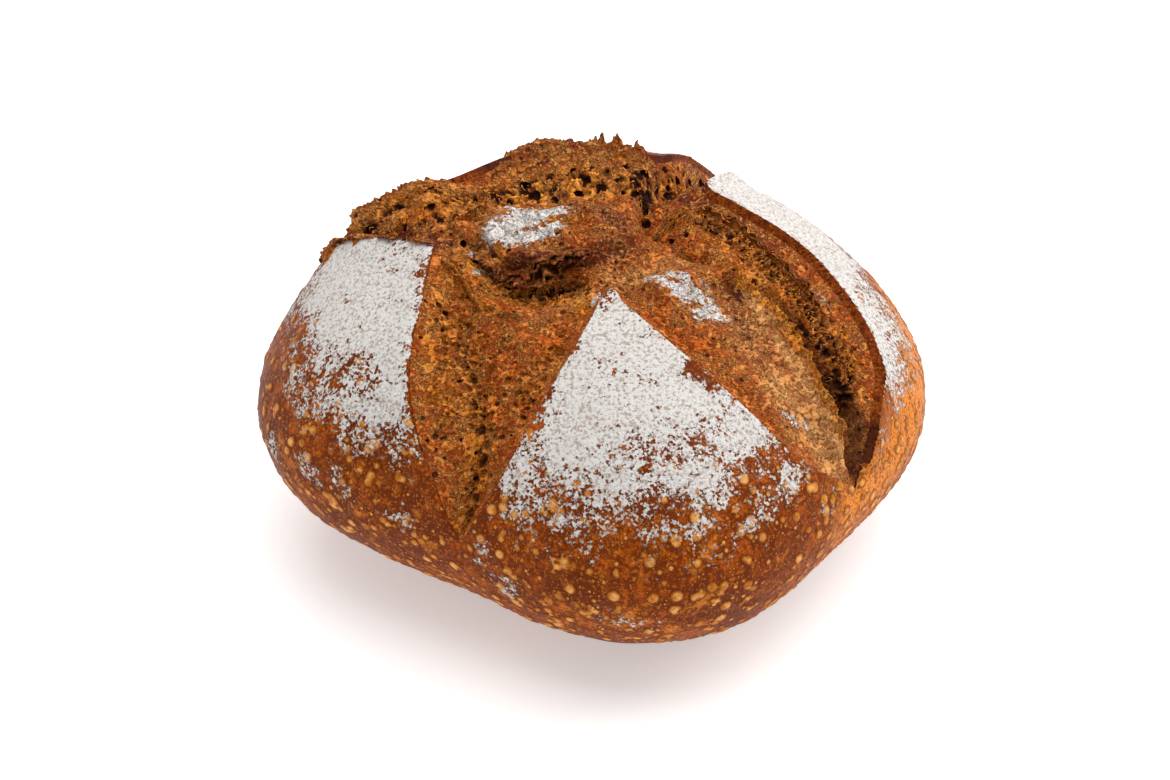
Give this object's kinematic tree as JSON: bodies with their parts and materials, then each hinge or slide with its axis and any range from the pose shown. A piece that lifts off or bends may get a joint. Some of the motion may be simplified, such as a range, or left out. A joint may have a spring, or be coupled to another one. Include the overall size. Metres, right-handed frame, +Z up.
{
  "type": "spelt bread loaf",
  "caption": "Round rustic spelt loaf with a scored cross torn open between floured crust petals.",
  "frame": {"origin": "centre of the loaf's bounding box, on the surface it stands on", "axes": "+Z up, +X to the right and +Y away from a viewer who faces the floured front petal"},
  "size_m": [0.2279, 0.2291, 0.118],
  "materials": {
    "crust": "baked crust, matte"
  },
  "bodies": {
    "root": {"loaf": "crust"}
  },
  "joints": []
}
